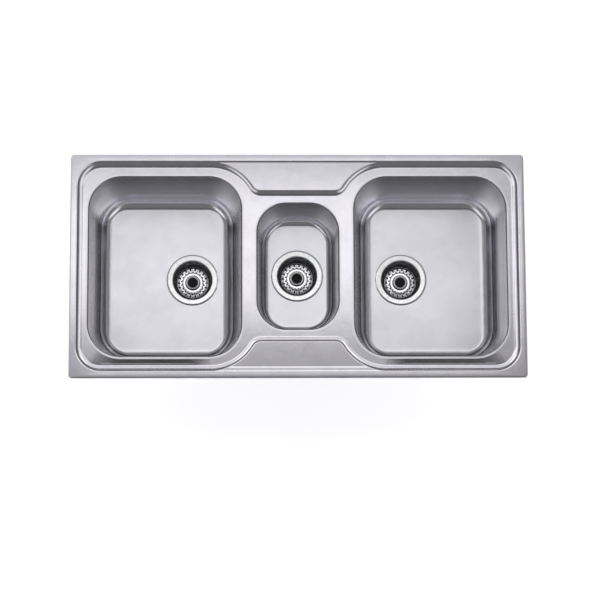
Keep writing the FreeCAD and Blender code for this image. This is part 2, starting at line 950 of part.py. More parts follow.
def build_strainer(side):
    bowl = bowl_sizes(side)
    under = -dim.seat_depth - dim.steel
    pieces = {
        "strainer_body": build_strainer_body(f"{side}_strainer_body"),
        "flange_gasket": ring(
            f"{side}_flange_gasket",
            dim.gasket_inner,
            dim.flange_gasket_outer,
            -dim.waste_steel,
            -dim.seat_depth,
        ),
        "under_gasket": ring(
            f"{side}_under_gasket",
            dim.gasket_inner,
            dim.under_gasket_outer,
            under,
            under - dim.under_gasket_height,
        ),
        "waste_housing": build_housing(f"{side}_waste_housing"),
        "waste_screw": build_waste_screw(f"{side}_waste_screw"),
        "basket": build_basket(f"{side}_basket"),
        "basket_knob": build_knob(f"{side}_basket_knob"),
        "basket_stopper": build_stopper(f"{side}_basket_stopper"),
        "basket_stem": build_stem(f"{side}_basket_stem"),
    }
    for name, body in pieces.items():
        place(body, x=bowl.drain_x, z=-bowl.floor)
        nodes[f"{side}_{name}"] = body


# ---------------------------------------------------------------- seal, rails, pads


def build_seal():
    """The foam strip between the rim and the worktop."""
    body = new_body("rim_seal")
    outline = new_sketch(body, "rim_seal_outline")
    half_x = dim.sink_length / 2 - dim.seal_inset
    half_y = dim.sink_width / 2 - dim.seal_inset
    draw_path(outline, round_box_path(half_x, half_y, dim.seal_corner))
    inner = dim.seal_width
    draw_path(outline, box_path(half_x - inner, half_y - inner))
    height = dim.rim_height - dim.steel
    extrude(body, "Pad", "rim_seal_strip", outline, height)
    nodes["rim_seal"] = body


# side: place of the rail along X and Y, turn about the vertical, length of the rail
def rail_places():
    return {
        "front": (ZERO, -dim.rail_y, -90, dim.rail_long),
        "back": (ZERO, dim.rail_y, 90, dim.rail_long),
        "left": (-dim.rail_x, ZERO, 180, dim.rail_short),
        "right": (dim.rail_x, ZERO, 0, dim.rail_short),
    }


def build_rails():
    """The hooked rails welded under the deck, which carry the clamps."""
    top = -dim.recess_depth - dim.steel
    plate = dim.rail_steel
    foot = -dim.rail_drop
    corners = [
        (-dim.rail_flange, top - plate),
        (-plate, top - plate),
        (-plate, foot),
        (dim.rail_lip, foot),
        (dim.rail_lip, foot + plate),
        (ZERO, foot + plate),
        (ZERO, top),
        (-dim.rail_flange, top),
    ]
    for side, (x, y, turn, reach) in rail_places().items():
        body = strip(f"rail_{side}", corners, reach)
        place(body, x=x, y=y, turn=turn)
        nodes[f"rail_{side}"] = body


def clamp_places():
    rails = rail_places()
    out = {}
    for side in ("front", "back"):
        _, y, turn, _ = rails[side]
        out[f"{side}_left"] = (-dim.clamp_x, y, turn)
        out[f"{side}_right"] = (dim.clamp_x, y, turn)
    for side in ("left", "right"):
        x, y, turn, _ = rails[side]
        out[side] = (x, y, turn)
    return out


def build_bracket(label):
    """Hooks over the rail's lip and carries the threaded tab."""
    hook = -dim.rail_drop + dim.rail_steel
    plate = dim.bracket_steel
    outer = dim.bracket_plate + plate
    body = strip(
        label,
        [
            (dim.bracket_start, hook),
            (dim.bracket_plate, hook),
            (dim.bracket_plate, -dim.bracket_foot),
            (outer, -dim.bracket_foot),
            (outer, -dim.tab_level - plate),
            (dim.tab_reach, -dim.tab_level - plate),
            (dim.tab_reach, -dim.tab_level),
            (outer, -dim.tab_level),
            (outer, hook + plate),
            (dim.bracket_start, hook + plate),
        ],
        dim.clamp_width,
    )
    hole = new_sketch(body, f"{label}_hole_outline", offset=-dim.tab_level + 1)
    draw_circle(hole, dim.clamp_screw_u, ZERO, dim.clamp_screw_bore)
    extrude(body, "Pocket", f"{label}_hole", hole, plate * 3)
    return body


def build_claw(label):
    """Slides along the bracket; its tooth presses up on the worktop's underside."""
    plate = dim.claw_steel
    level = -dim.claw_level
    heel = dim.claw_start + dim.claw_heel_steel
    body = strip(
        label,
        [
            (dim.claw_start, level - plate - dim.claw_heel),
            (heel, level - plate - dim.claw_heel),
            (heel, level - plate),
            (dim.claw_reach, level - plate),
            (dim.claw_reach, level + dim.claw_tooth),
            (dim.claw_reach - plate, level + dim.claw_tooth),
            (dim.claw_reach - plate, level),
            (dim.claw_start, level),
        ],
        dim.clamp_width,
    )
    hole = new_sketch(body, f"{label}_hole_outline", offset=level + 1)
    draw_circle(hole, dim.clamp_screw_u, ZERO, dim.claw_hole)
    extrude(body, "Pocket", f"{label}_hole", hole, plate * 2)
    return body


def build_clamp_screw(label):
    """Its head is under the claw; its thread runs in the bracket's tab."""
    seat = -dim.claw_level - dim.claw_steel
    head = seat - dim.clamp_screw_head_height
    tip = seat + dim.clamp_screw_length
    body = turned(
        label,
        [
            (ZERO, head),
            (dim.clamp_screw_head - 1, head),
            (dim.clamp_screw_head, head + 1.2),
            (dim.clamp_screw_head, seat),
            (dim.clamp_screw, seat),
            (dim.clamp_screw, tip - 1),
            (dim.clamp_screw - 1, tip),
            (ZERO, tip),
        ],
    )
    slot = new_sketch(body, f"{label}_slot_outline", offset=head)
    draw_path(slot, box_path(dim.clamp_screw_head * 1.5, dim.clamp_slot_width / 2))
    extrude(body, "Pocket", f"{label}_slot", slot, dim.clamp_slot_depth, reverse=True)
    return body


def build_clamps():
    for side, (x, y, turn) in clamp_places().items():
        for name, build in (("bracket", build_bracket), ("claw", build_claw)):
            body = build(f"{name}_{side}")
            place(body, x=x, y=y, turn=turn)
            nodes[f"{name}_{side}"] = body
        angle = math.radians(turn)
        out_x = round(math.cos(angle))
        out_y = round(math.sin(angle))
        screw = build_clamp_screw(f"screw_{side}")
        place(
            screw,
            x=x + dim.clamp_screw_u * out_x,
            y=y + dim.clamp_screw_u * out_y,
            turn=turn,
        )
        nodes[f"screw_{side}"] = screw


def build_pads():
    """Sound deadening pads glued under the bowl floors."""
    places = {
        "left": (-dim.main_pad_x, ZERO, dim.main_pad_length, dim.main_pad_width),
        "centre": (
            ZERO,
            dim.centre_pad_y,
            dim.centre_pad_length,
            dim.centre_pad_width,
        ),
        "right": (dim.main_pad_x, ZERO, dim.main_pad_length, dim.main_pad_width),
    }
    for side, (x, y, size_x, size_y) in places.items():
        label = f"{side}_sound_pad"
        body = new_body(label)
        outline = new_sketch(body, f"{label}_outline")
        draw_path(outline, round_box_path(size_x / 2, size_y / 2, dim.pad_corner))
        extrude(body, "Pad", f"{label}_sheet", outline, dim.pad_thickness, reverse=True)
        place(body, x=x, y=y, z=-bowl_sizes(side).floor - dim.steel)
        nodes[label] = body


# ---------------------------------------------------------------- build and export

build_deck()
for side in SIDES:
    build_bowl(side)
for side in SIDES:
    build_strainer(side)
build_seal()
build_rails()
build_clamps()
build_pads()
doc.recompute()

for item in doc.Objects:
    bad = {"Invalid", "Error"} & set(item.State)
    if bad:
        raise RuntimeError(f"{item.Label} is in state {sorted(bad)}")

os.makedirs("parts", exist_ok=True)
for label, item in nodes.items():
    shape = item.Shape
    if shape.isNull() or not shape.isValid() or len(shape.Solids) != 1:
        raise RuntimeError(f"{label} is not one valid solid")
    shape.exportStep(f"parts/{label}.step")
print(f"{len(nodes)} parts written")
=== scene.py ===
import math

import bmesh
import bpy
import numpy as np
from mathutils import Matrix, Vector, geometry


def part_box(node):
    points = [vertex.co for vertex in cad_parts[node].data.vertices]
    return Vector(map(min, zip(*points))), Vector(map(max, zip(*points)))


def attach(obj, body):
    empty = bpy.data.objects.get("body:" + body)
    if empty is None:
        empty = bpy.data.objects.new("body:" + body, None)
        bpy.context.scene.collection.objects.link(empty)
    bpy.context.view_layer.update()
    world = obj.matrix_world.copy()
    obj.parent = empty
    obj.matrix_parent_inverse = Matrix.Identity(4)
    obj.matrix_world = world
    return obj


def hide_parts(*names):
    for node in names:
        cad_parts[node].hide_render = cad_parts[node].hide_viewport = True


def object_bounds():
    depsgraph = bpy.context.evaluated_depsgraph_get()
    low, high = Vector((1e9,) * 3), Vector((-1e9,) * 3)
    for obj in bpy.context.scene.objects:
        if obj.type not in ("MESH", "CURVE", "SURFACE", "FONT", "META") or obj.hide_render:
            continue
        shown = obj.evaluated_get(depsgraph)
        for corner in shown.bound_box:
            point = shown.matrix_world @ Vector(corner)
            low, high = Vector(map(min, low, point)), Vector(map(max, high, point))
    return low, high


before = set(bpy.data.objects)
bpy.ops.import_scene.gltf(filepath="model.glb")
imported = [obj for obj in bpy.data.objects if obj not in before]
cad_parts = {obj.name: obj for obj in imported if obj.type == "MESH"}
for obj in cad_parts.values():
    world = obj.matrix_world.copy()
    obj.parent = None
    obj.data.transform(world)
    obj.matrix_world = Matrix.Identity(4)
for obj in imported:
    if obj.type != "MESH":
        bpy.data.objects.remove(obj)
cad_low, cad_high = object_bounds()

MM = 0.001
SIDES = ("left", "centre", "right")
CLAMPS = ("front_left", "front_right", "back_left", "back_right", "left", "right")
SCENE = bpy.context.scene
CREASE_ANGLE = math.radians(38)
WELD_DISTANCE = 2e-7


# ---------------------------------------------------------------- mesh helpers


def link(name, mesh):
    obj = bpy.data.objects.new(name, mesh)
    SCENE.collection.objects.link(obj)
    return obj


def finished_mesh(name, verts, faces, sheet=False):
    """A welded mesh from millimetre points: a sheet faces up, a closed shape faces outwards."""
    bm = bmesh.new()
    for v in verts:
        bm.verts.new((v[0] * MM, v[1] * MM, v[2] * MM))
    bm.verts.ensure_lookup_table()
    for face in faces:
        if len(set(face)) > 2:
            bm.faces.new([bm.verts[i] for i in face])
    bmesh.ops.remove_doubles(bm, verts=bm.verts, dist=WELD_DISTANCE)
    bmesh.ops.dissolve_degenerate(bm, dist=WELD_DISTANCE / 2, edges=bm.edges)
    bmesh.ops.recalc_face_normals(bm, faces=bm.faces)
    if sheet and sum(f.normal.z * f.calc_area() for f in bm.faces) <= 0:
        bmesh.ops.reverse_faces(bm, faces=bm.faces)
    for face in bm.faces:
        face.smooth = True
    mesh = bpy.data.meshes.new(name)
    bm.to_mesh(mesh)
    bm.free()
    return mesh


def modifier(obj, kind, name, **values):
    mod = obj.modifiers.new(name, kind)
    for key, value in values.items():
        setattr(mod, key, value)


def thicken(obj):
    """Give a sheet its thickness; the second material goes on its underside."""
    sizes = {"thickness": SHEET * MM, "offset": -1, "use_even_offset": True}
    modifier(obj, "SOLIDIFY", "sheet", material_offset=1, **sizes)


def weighted_normals(obj):
    """Smooth shading that keeps the creases."""
    modifier(obj, "EDGE_SPLIT", "creases", split_angle=CREASE_ANGLE)
    modifier(obj, "WEIGHTED_NORMAL", "normals", mode="FACE_AREA", weight=80, keep_sharp=True)


def apply_modifiers(obj):
    """Make the modifiers' result the object's own mesh."""
    bpy.context.view_layer.update()
    graph = bpy.context.evaluated_depsgraph_get()
    mesh = bpy.data.meshes.new_from_object(obj.evaluated_get(graph))
    obj.modifiers.clear()
    obj.data = mesh


class Patchwork:
    """Collects rows of points and the faces between them."""

    def __init__(self):
        self.verts = []
        self.faces = []

    def row(self, points):
        """Add points; returns their numbers."""
        start = len(self.verts)
        self.verts.extend(tuple(p) for p in points)
        return list(range(start, len(self.verts)))

    def bridge(self, a, b, closed=True):
        """Faces between two rows of the same length."""
        count = len(a)
        last = count if closed else count - 1
        for i in range(last):
            j = (i + 1) % count
            self.faces.append((a[i], a[j], b[j], b[i]))

    def rows(self, loops):
        """Add closed loops, each bridged to the next; returns their rows."""
        made = [self.row(loop) for loop in loops]
        for a, b in zip(made, made[1:]):
            self.bridge(a, b)
        return made


def arc_points(centre, radius, start, end, steps):
    """(x, y) points along an arc, angles in degrees."""
    angles = np.radians(np.linspace(start, end, steps + 1))
    return [(centre[0] + radius * math.cos(a), centre[1] + radius * math.sin(a)) for a in angles]


def rounded(points, steps):
    """A polyline of (x, y) or (x, y, radius) points; those with a radius become arcs."""
    out = []
    for i, point in enumerate(points):
        if len(point) < 3 or i in (0, len(points) - 1):
            out.append(point[:2])
            continue
        here = Vector(point[:2])
        back = (Vector(points[i - 1][:2]) - here).normalized()
        on = (Vector(points[i + 1][:2]) - here).normalized()
        half = back.angle(on) / 2
        reach = point[2] / math.tan(half)
        centre = here + (back + on).normalized() * (point[2] / math.sin(half))
        first = here + back * reach - centre
        last = here + on * reach - centre
        for k in range(steps + 1):
            spoke = first.lerp(last, k / steps).normalized() * point[2]
            out.append(tuple(centre + spoke))
    return out


def turned(name, profile, centre, segments):
    """A closed surface of revolution from (radius, height) points in millimetres."""
    work = Patchwork()
    cx, cy, cz = centre
    angles = np.linspace(0, 2 * math.pi, segments, endpoint=False)
    loops = []
    for radius, height in profile:
        loops.append(
            [(cx + radius * math.cos(a), cy + radius * math.sin(a), cz + height) for a in angles]
        )
    loops.append(loops[0])
    work.rows(loops)
    return link(name, finished_mesh(name, work.verts, work.faces))


def round_rect(half_x, half_y, radius, cx, arc=20, line=10):
    """Points of a rounded rectangle, counter-clockwise, the same count at any size."""
    points = []
    corners = ((1, 1), (-1, 1), (-1, -1), (1, -1))
    for quarter, (sx, sy) in enumerate(corners):
        start = 90 * quarter
        centre = (cx + sx * (half_x - radius), sy * (half_y - radius))
        points += arc_points(centre, radius, start, start + 90, arc)
        next_x, next_y = corners[(quarter + 1) % 4]
        first = points[-1]
        angle = math.radians(start + 90)
        last = (
            cx + next_x * (half_x - radius) + radius * math.cos(angle),
            next_y * (half_y - radius) + radius * math.sin(angle),
        )
        for t in np.arange(1, line) / line:
            points.append((first[0] + (last[0] - first[0]) * t, first[1] + (last[1] - first[1]) * t))
    return points


def smooth_step(value, low, high):
    """0 at low and 1 at high, with no kink at either."""
    t = np.clip((np.asarray(value, float) - low) / (high - low), 0, 1)
    return t * t * (3 - 2 * t)


def soft_max(a, b, k):
    """The larger of two heights, rounded over a width k."""
    mix = np.clip(0.5 + 0.5 * (a - b) / k, 0, 1)
    return b + (a - b) * mix + k * mix * (1 - mix)


def soft_min(a, b, k):
    """The smaller of two heights, rounded over a width k."""
    k = np.maximum(k, 1e-6)
    mix = np.clip(0.5 + 0.5 * (b - a) / k, 0, 1)
    return b + (a - b) * mix - k * mix * (1 - mix)


# ---------------------------------------------------------------- sizes, in millimetres

_, deck_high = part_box("deck")
HALF_X = deck_high.x / MM
HALF_Y = deck_high.y / MM
RIM = deck_high.z / MM

# sheet thickness, and the levels of the sunk field and the ledges against the worktop
SHEET = 0.8
FIELD = -3.0
LEDGE = 3.0

# rim: how much lower it is at its inner edge, its crown, its outer corner and edge, its skirt
RIM_SINK = 0.18
CROWN_RISE = 0.044
CROWN_FALL = 0.035
RIM_CORNER = 8.0
EDGE_ROUND = 2.2
SKIRT_BEND = 1.6
SKIRT_FOOT = 0.5

# outline of the sunk field: straight sides, corners, shoulders beside the centre bowl, ledges
FIELD_X = 470.5
FIELD_Y = 219.0
FIELD_CORNER = 40.0
SHOULDER_X = 191.5
SHOULDER_ROUND = 95.5
LEDGE_Y = 155.5
LEDGE_ROUND = 35.0

# S-shaped step from the field up to the rim, as distances outside that outline
STEP_TOP = RIM - RIM_SINK
STEP_FOOT = 6.3
STEP_HEAD = 15.3
STEP_ANGLE = math.atan((STEP_TOP - FIELD) / (STEP_HEAD - STEP_FOOT))
FOOT_ROUND = 16.0
HEAD_ROUND = 4.5
STEP_RINGS = [0.0, 1.2, *np.arange(2.1, 8.0, 0.8), 8.4, 9.2, 10.0, *np.arange(10.6, 17.3, 0.5), 18.2]

# the front ledge rises gently to the rim between these distances beyond the field's straight edge
FRONT_RISE = (4.5, 17.0)

# the back ledge's bend up to the rim, and the bend and reach of the step's edge where it meets a ledge
LEDGE_SOFT = 0.6
SHELF_SOFT = 0.9
SHELF_REACH = 4.0

# the sheet sags in front of each main bowl, and levels out towards both ends
_, bowl_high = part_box("left_bowl")
DIP = 1.1
DIP_START = bowl_high.y / MM
DIP_REACH = 14.0
DIP_INNER_END = (185.0, 240.0)
DIP_OUTER_END = (472.0, 425.0)

# bowls: "draw" is how far the walls lean in, "more" how much further they come in by the floor
WELD_FLANGE = 7.0
LIP_ROUND = 4.0
MAIN_BOWL = {"corner": 71.5, "draw": 12.0, "more_x": 8.0, "more_y": 4.0, "round": 27.0}
CENTRE_BOWL = {"corner": 63.3, "draw": 9.0, "more_x": 2.5, "more_y": 3.0, "round": 17.0}
CORNER_SHRINK = 1.6

# the floor rises away from the drain
FLOOR_FALL = 1.3
FALL_POWER = 1.3
FALL_START = 62.0
FALL_REACH = 150.0

# drain seat: where the floor ends, then (radius, depth below the floor) down to the hole
SEAT = 58.4
SEAT_PROFILE = (
    (58.15, 0.06),
    (57.95, 0.3),
    (57.9, 0.7),
    (57.85, 1.5),
    (57.6, 1.95),
    (57.0, 2.2),
    (52.0, 2.2),
    (45.4, 2.2),
    (45.0, 2.25),
)

# strainer profiles: (radius, height over the bowl's floor, rounding of the corner)
CUP_UPPER = (
    (57.0, -0.95),
    (57.0, -0.1, 0.4),
    (54.5, 0.3, 4.0),
    (45.2, 0.0, 2.0),
    (43.3, -2.6, 1.4),
    (42.2, -13.0, 0.9),
    (40.2, -15.0, 0.9),
    (39.6, -27.0, 0.9),
    (37.6, -29.0, 0.9),
    (37.0, -41.0, 1.2),
    (33.0, -45.0, 1.2),
    (12.0, -45.0, 1.0),
    (10.5, -50.0, 1.0),
    (4.3, -50.0),
)
CUP_LOWER = (
    (4.3, -51.0),
    (11.6, -51.0, 1.0),
    (13.0, -46.0, 1.0),
    (33.4, -46.0, 1.2),
    (38.0, -41.4, 1.2),
    (38.6, -29.4, 0.9),
    (40.6, -27.4, 0.9),
    (41.2, -15.4, 0.9),
    (43.2, -13.4, 0.9),
    (44.2, -3.0, 1.6),
    (46.2, -1.0, 1.0),
    (57.0, -0.98),
)
CUP_HOLES = {"circle": 22.0, "radius": 5.5, "count": 8, "low": -48.0, "high": -42.0}
BASKET_UPPER = (
    (3.0, -32.0),
    (21.8, -32.0, 1.0),
    (24.2, -35.4, 1.0),
    (29.6, -35.8, 2.0),
    (35.2, -29.6, 0.3),
    (36.0, -30.1),
)
BASKET_LOWER = (
    (35.8, -30.6, 0.3),
    (35.2, -30.9, 0.3),
    (30.2, -36.9, 1.8),
    (23.8, -36.5, 1.0),
    (21.4, -33.0, 1.0),
    (3.0, -33.0),
)
BASKET_HOLES = {"circle": 25.4, "radius": 1.9, "count": 18, "low": -41.0, "high": -29.0, "phase": 0.5}
BASKET_SLOTS = {"inner": 28.0, "outer": 34.4, "width": 3.8, "count": 18, "low": -41.0, "high": -29.2}
KNOB = (
    (3.0, -31.9),
    (17.5, -31.9, 0.3),
    (17.5, -31.1, 0.3),
    (14.2, -30.9, 0.3),
    (13.6, -30.2, 0.5),
    (15.6, -28.6, 0.8),
    (15.6, -27.0, 0.7),
    (12.6, -26.85, 1.2),
    (10.8, -28.0, 0.8),
    (10.6, -30.5, 0.8),
    (3.0, -30.5),
)

# (radius, depth) inside and below which a strainer piece takes a material of painted shade:
# dark steel in the cup's throat, black in the grip's hollow and in the ring round its foot;
# then how far down from its top the stem is painted black as shade
THROAT_SHADE_ZONE = (44.0, 2.2)
KNOB_HOLLOW_SHADE = (11.2, 27.6)
KNOB_FOOT_SHADOW = (18.0, 30.7)
STEM_SHADE_DEPTH = 3.0


def bowl_frame(side):
    """Mouth centre, half sizes, floor level, drain centre and shape of a bowl."""
    low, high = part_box(f"{side}_bowl")
    cup_low, cup_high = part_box(f"{side}_strainer_body")
    return {
        "x": (low.x + high.x) / 2 / MM,
        "half_x": (high.x - low.x) / 2 / MM - WELD_FLANGE,
        "half_y": (high.y - low.y) / 2 / MM - WELD_FLANGE,
        "floor": cup_high.z / MM,
        "drain": ((cup_low.x + cup_high.x) / 2 / MM, (cup_low.y + cup_high.y) / 2 / MM),
        **(CENTRE_BOWL if side == "centre" else MAIN_BOWL),
    }


def sheet_piece(name, work, node):
    """A pressed sheet that stands for a CAD node of the sink's own body."""
    obj = link(name, finished_mesh(name, work.verts, work.faces, sheet=True))
    thicken(obj)
    weighted_normals(obj)
    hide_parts(node)
    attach(obj, "sink")
    return obj


# ---------------------------------------------------------------- deck


def step_height(d, capped=True):
    """Height of the step at a distance outside the outline; uncapped, it climbs on."""
    d = np.asarray(d, float)
    start = STEP_FOOT - FOOT_ROUND * math.tan(STEP_ANGLE / 2)
    end = STEP_HEAD + HEAD_ROUND * math.tan(STEP_ANGLE / 2)
    z = FIELD + (d - STEP_FOOT) * math.tan(STEP_ANGLE)
    low = start + FOOT_ROUND * math.sin(STEP_ANGLE)
    dip = np.clip(d - start, 0, low - start)
    foot = FIELD + FOOT_ROUND - np.sqrt(FOOT_ROUND**2 - dip**2)
    z = np.where(d < low, foot, z)
    if capped:
        high = end - HEAD_ROUND * math.sin(STEP_ANGLE)
        left = np.clip(end - d, 0, end - high)
        top = STEP_TOP - HEAD_ROUND + np.sqrt(HEAD_ROUND**2 - left**2)
        z = np.where(d > high, top, z)
    return z


def ledge_height(beyond, front):
    """Height of the ledges and of the rim beyond them, a gentler rise in front."""
    gentle = LEDGE + (STEP_TOP - LEDGE) * smooth_step(beyond, *FRONT_RISE)
    sharp = soft_max(np.full_like(beyond, LEDGE), step_height(beyond), LEDGE_SOFT)
    return np.where(front, gentle, sharp)


def front_dip(points):
    """How far the sheet sags between the front edge of a main bowl and the step."""
    side = np.abs(points[:, 0])
    across = smooth_step(side, *DIP_INNER_END) * smooth_step(side, *DIP_OUTER_END)
    return DIP * smooth_step(-points[:, 1], DIP_START, DIP_START + DIP_REACH) * across


def quadrant_outline():
    """Points, outward directions and zones of a quarter of the sunk field's outline."""
    corner_x = FIELD_X - FIELD_CORNER
    corner_y = FIELD_Y - FIELD_CORNER
    shoulder_y = FIELD_Y - SHOULDER_ROUND
    ledge_y = LEDGE_Y + LEDGE_ROUND
    ledge_x = SHOULDER_X - math.sqrt((SHOULDER_ROUND + LEDGE_ROUND) ** 2 - (ledge_y - shoulder_y) ** 2)
    meet = math.degrees(math.atan2(ledge_y - shoulder_y, ledge_x - SHOULDER_X))
    points = []
    for t in np.linspace(0, 1, 11)[:-1]:
        points.append(((FIELD_X, t * corner_y), (1.0, 0.0), "side"))
    for a in np.radians(np.linspace(0, 90, 25)):
        n = (math.cos(a), math.sin(a))
        points.append(((corner_x + FIELD_CORNER * n[0], corner_y + FIELD_CORNER * n[1]), n, "corner"))
    for t in np.linspace(0, 1, 13)[1:-1]:
        points.append(((corner_x + (SHOULDER_X - corner_x) * t, FIELD_Y), (0.0, 1.0), "top"))
    for a in np.radians(np.linspace(90, meet, 45)):
        n = (math.cos(a), math.sin(a))
        p = (SHOULDER_X + SHOULDER_ROUND * n[0], shoulder_y + SHOULDER_ROUND * n[1])
        points.append((p, n, "ledge"))
    for a in np.radians(np.linspace(meet + 180, 270, 21))[1:]:
        n = (-math.cos(a), -math.sin(a))
        points.append(((ledge_x - LEDGE_ROUND * n[0], ledge_y - LEDGE_ROUND * n[1]), n, "ledge"))
    for t in np.linspace(0, 1, 9)[1:]:
        points.append(((ledge_x * (1 - t), LEDGE_Y), (0.0, 1.0), "ledge"))
    return points


def field_outline():
    """The whole outline, mirrored from a quarter of it, counter-clockwise."""
    quarter = quadrant_outline()
    half = list(quarter)
    for (x, y), (nx, ny), zone in quarter[-2::-1]:
        half.append(((-x, y), (-nx, ny), zone))
    whole = list(half)
    for (x, y), (nx, ny), zone in half[-2:0:-1]:
        whole.append(((x, -y), (nx, -ny), zone))
    return whole


def add_step(work, base, normal, on_ledge):
    """The step round the field; returns its outermost row."""
    loops = []
    for d in STEP_RINGS:
        xy = base + d * normal
        beyond = np.abs(xy[:, 1]) - FIELD_Y
        distance = np.full(len(xy), float(d))
        blend = SHELF_SOFT * np.clip((d - beyond) / SHELF_REACH, 0, 1)
        shelf = ledge_height(beyond, xy[:, 1] < 0)
        shelf = soft_min(step_height(distance, capped=False), shelf, blend)
        z = np.where(on_ledge, shelf, step_height(distance))
        z -= front_dip(xy) * (STEP_TOP - z) / (STEP_TOP - FIELD)
        loops.append(np.column_stack([xy, z]))
    return work.rows(loops)[-1]


def add_ledges(work, edge, on_ledge):
    """The ledges, in columns from the step to the rim; returns the rim's inner edge."""
    columns = []
    for vertex, ledge in zip(edge, on_ledge):
        column = [vertex]
        if ledge:
            x, y, _ = work.verts[vertex]
            start = abs(y)
            first = max(FIELD_Y, start)
            ys = [start + (first - start) * t for t in (0.33, 0.67, 1.0)]
            ys += [max(FIELD_Y + d, start) for d in STEP_RINGS[1:]]
            heights = ledge_height(np.array(ys) - FIELD_Y, y < 0)
            column += work.row([(x, math.copysign(place, y), z) for place, z in zip(ys, heights)])
        columns.append(column)
    for one, other in zip(columns, columns[1:] + columns[:1]):
        if len(one) > 1 and len(other) > 1:
            work.bridge(one, other, closed=False)
    return [column[-1] for column in columns]


def add_rim(work, rim_inner, base, normal, zones):
    """The crowned rim, its rounded outer edge and the turned-down skirt."""
    inner = np.array([work.verts[i][:2] for i in rim_inner])
    corner_x = HALF_X - RIM_CORNER
    corner_y = HALF_Y - RIM_CORNER
    anchor = []
    outward = normal.copy()
    for i, ((x, y), zone) in enumerate(zip(base, zones)):
        anchor_x, anchor_y = math.copysign(corner_x, x), math.copysign(corner_y, y)
        if zone == "side":
            anchor_y = y * corner_y / (FIELD_Y - FIELD_CORNER)
        elif zone != "corner":
            anchor_x = inner[i][0] * corner_x / (FIELD_X - FIELD_CORNER)
        anchor.append((anchor_x, anchor_y))
        if zone == "ledge":
            outward[i] = (0.0, math.copysign(1.0, y))
    anchor = np.array(anchor)
    outer = anchor + (RIM_CORNER - EDGE_ROUND) * outward
    width = HALF_X - FIELD_X - STEP_RINGS[-1]

    def crowned(t):
        return STEP_TOP + width * (CROWN_RISE * t - CROWN_FALL * t * t)

    rings = [(inner + (outer - inner) * t, crowned(t)) for t in (0.17, 0.33, 0.5, 0.67, 0.83)]
    for a in np.radians(np.linspace(0, 90, 8)):
        inset = EDGE_ROUND * (1 - math.sin(a))
        drop = EDGE_ROUND * (1 - math.cos(a))
        rings.append((anchor + (RIM_CORNER - inset) * outward, crowned(1.0) - drop))
    skirt = anchor + RIM_CORNER * outward
    rings += [(skirt, SKIRT_BEND), (skirt, SKIRT_FOOT)]
    previous = rim_inner
    for xy, z in rings:
        row = work.row(np.column_stack([xy, np.full(len(xy), z)]))
        work.bridge(previous, row)
        previous = row


def opening_loop(side):
    """The edge of a bowl's weld flange, where the deck's flat ends."""
    bowl = bowl_frame(side)
    corner = bowl["corner"] + WELD_FLANGE
    return round_rect(bowl["half_x"] + WELD_FLANGE, bowl["half_y"] + WELD_FLANGE, corner, bowl["x"])


def inside(points, loop):
    """Which of the points lie inside a closed loop."""
    x, y = points[:, 0], points[:, 1]
    loop = np.asarray(loop)
    hit = np.zeros(len(points), bool)
    for (x0, y0), (x1, y1) in zip(loop, np.roll(loop, -1, axis=0)):
        crosses = (y0 > y) != (y1 > y)
        if y1 != y0:
            hit ^= crosses & (x < (x1 - x0) * (y - y0) / (y1 - y0) + x0)
    return hit


def add_flat(work, base):
    """The flat of the sunk field, with its three openings."""
    boundary = [tuple(p) for p in base]
    holes = [opening_loop(side) for side in SIDES]
    corners = []
    edges = []
    for loop in [boundary] + holes:
        start = len(corners)
        corners += [Vector(p) for p in loop]
        edges += [(start + i, start + (i + 1) % len(loop)) for i in range(len(loop))]
    found, _, triangles = geometry.delaunay_2d_cdt(corners, edges, [], 0, 1e-6)[:3]
    points = np.array([tuple(p) for p in found])
    triangles = np.array(triangles)
    middle = points[triangles].mean(axis=1)
    keep = inside(middle, boundary)
    for hole in holes:
        keep &= ~inside(middle, hole)
    start = len(work.verts)
    work.verts.extend((x, y, FIELD - dip) for (x, y), dip in zip(points, front_dip(points)))
    work.faces.extend(tuple(int(i) + start for i in face) for face in triangles[keep])


def build_deck():
    """The pressed sheet from the openings out to the skirt."""
    outline = field_outline()
    base = np.array([point for point, _, _ in outline])
    normal = np.array([direction for _, direction, _ in outline])
    zones = [zone for _, _, zone in outline]
    on_ledge = np.array([zone == "ledge" for zone in zones])
    work = Patchwork()
    edge = add_step(work, base, normal, on_ledge)
    rim_inner = add_ledges(work, edge, on_ledge)
    add_rim(work, rim_inner, base, normal, zones)
    add_flat(work, base)
    return sheet_piece("deck_sheet", work, "deck")


# ---------------------------------------------------------------- bowls


def bowl_stations(bowl):
    """(inset, height, corner radius) of the rings from the weld flange down to the floor."""
    corner, bottom, floor = bowl["corner"], bowl["round"], bowl["floor"]
    draft = math.atan(bowl["draw"] / (FIELD - floor))
    turn = math.pi / 2 - draft
    lip_reach = LIP_ROUND * math.tan(turn / 2)
    floor_inset = bowl["draw"] + bottom * math.tan(turn / 2)

    stations = [(-WELD_FLANGE, FIELD, corner + WELD_FLANGE)]
    for a in np.linspace(0, turn, 10):
        inset = -lip_reach + LIP_ROUND * math.sin(a)
        stations.append((inset, FIELD - LIP_ROUND + LIP_ROUND * math.cos(a), corner - inset))
    wall_inset, wall_top, _ = stations[-1]
    foot_inset = floor_inset - bottom * math.sin(turn)
    foot_top = floor + bottom * (1 - math.cos(turn))
    for t in np.linspace(0, 1, 14)[1:-1]:
        inset = wall_inset + (foot_inset - wall_inset) * t
        stations.append((inset, wall_top + (foot_top - wall_top) * t, corner))
    for a in np.linspace(turn, 0, 22):
        inset = floor_inset - bottom * math.sin(a)
        shrink = (inset - foot_inset) * CORNER_SHRINK
        stations.append((inset, floor + bottom * (1 - math.cos(a)), corner - shrink))
    return stations


def floor_rise(gap):
    """Height of the floor over its lowest level at a distance from the drain."""
    return FLOOR_FALL * np.clip((gap - FALL_START) / FALL_REACH, 0, 1) ** FALL_POWER


